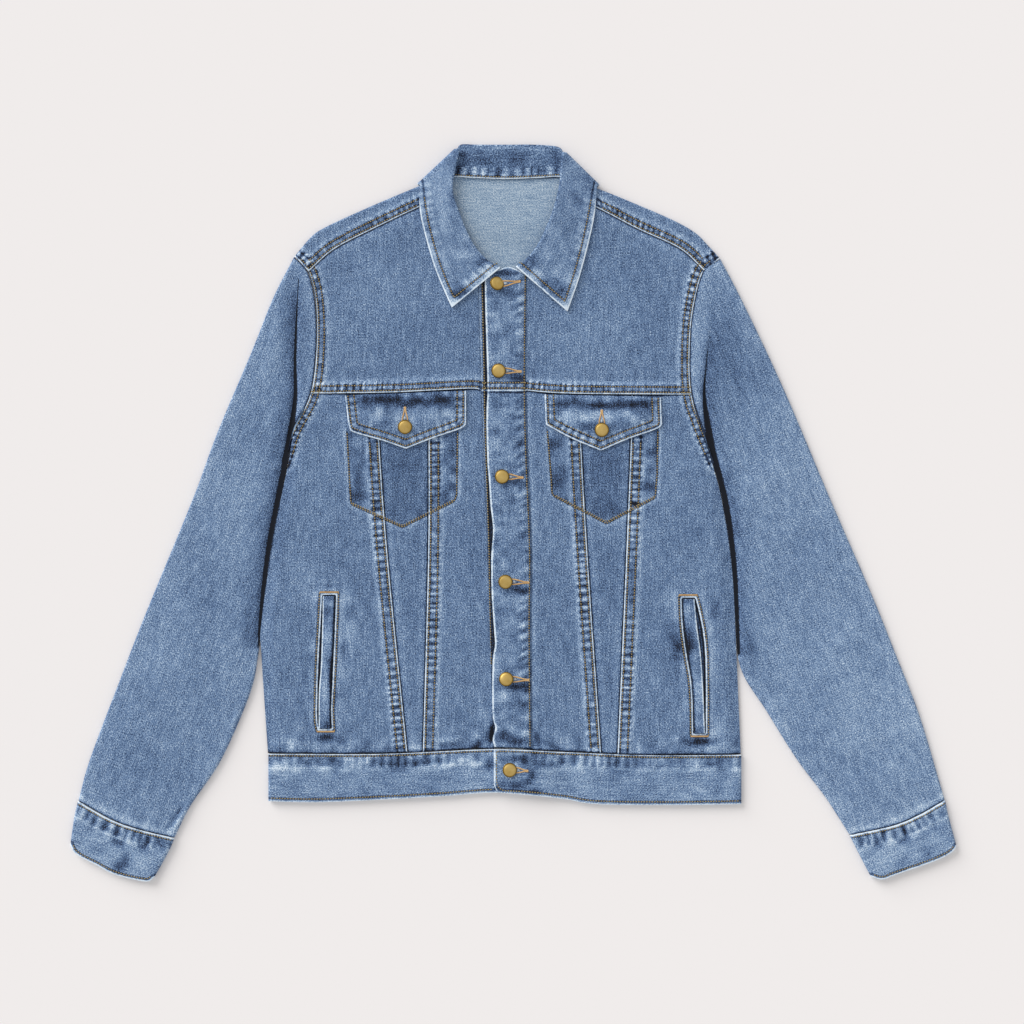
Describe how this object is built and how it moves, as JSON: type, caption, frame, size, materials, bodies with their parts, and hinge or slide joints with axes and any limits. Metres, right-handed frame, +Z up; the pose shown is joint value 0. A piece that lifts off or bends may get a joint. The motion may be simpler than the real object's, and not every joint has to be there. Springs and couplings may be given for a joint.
{
  "type": "denim jacket, laid flat",
  "caption": "Buttoned denim jacket laid flat on its back, with pointed collar, flap chest pockets, slanted welt pockets, waistband and cuffed sleeves.",
  "frame": {"origin": "bottom centre of the box around the jacket, on the surface that its back lies on", "axes": "+X towards the wearer's left sleeve, +Y towards the collar, +Z up from the surface, out of the jacket's front"},
  "size_m": [0.929, 0.7717, 0.0129],
  "materials": {
    "denim": "mid-blue washed denim twill with pale worn seam edges and tan topstitching",
    "denim_light": "the same washed denim, faded paler by wear",
    "brass": "satin brass shank buttons with a raised rim"
  },
  "bodies": {
    "root": {"back_panel": "denim", "back_yoke": "denim", "front_yoke_right": "denim", "front_yoke_left": "denim", "front_side_right": "denim", "front_side_left": "denim", "front_panel_right": "denim_light", "front_panel_left": "denim_light", "front_centre_right": "denim", "front_centre_left": "denim", "pocket_flap_right": "denim_light", "pocket_flap_left": "denim_light", "pocket_welt_right": "denim", "pocket_welt_left": "denim", "sleeve_right": "denim", "sleeve_left": "denim", "cuff_right": "denim_light", "cuff_left": "denim_light", "placket_button": "denim", "placket_buttonhole": "denim_light", "collar": "denim_light", "waistband": "denim_light", "button_front_1": "brass", "button_front_2": "brass", "button_front_3": "brass", "button_front_4": "brass", "button_front_5": "brass", "button_front_6": "brass", "button_pocket_right": "brass", "button_pocket_left": "brass"}
  },
  "joints": []
}
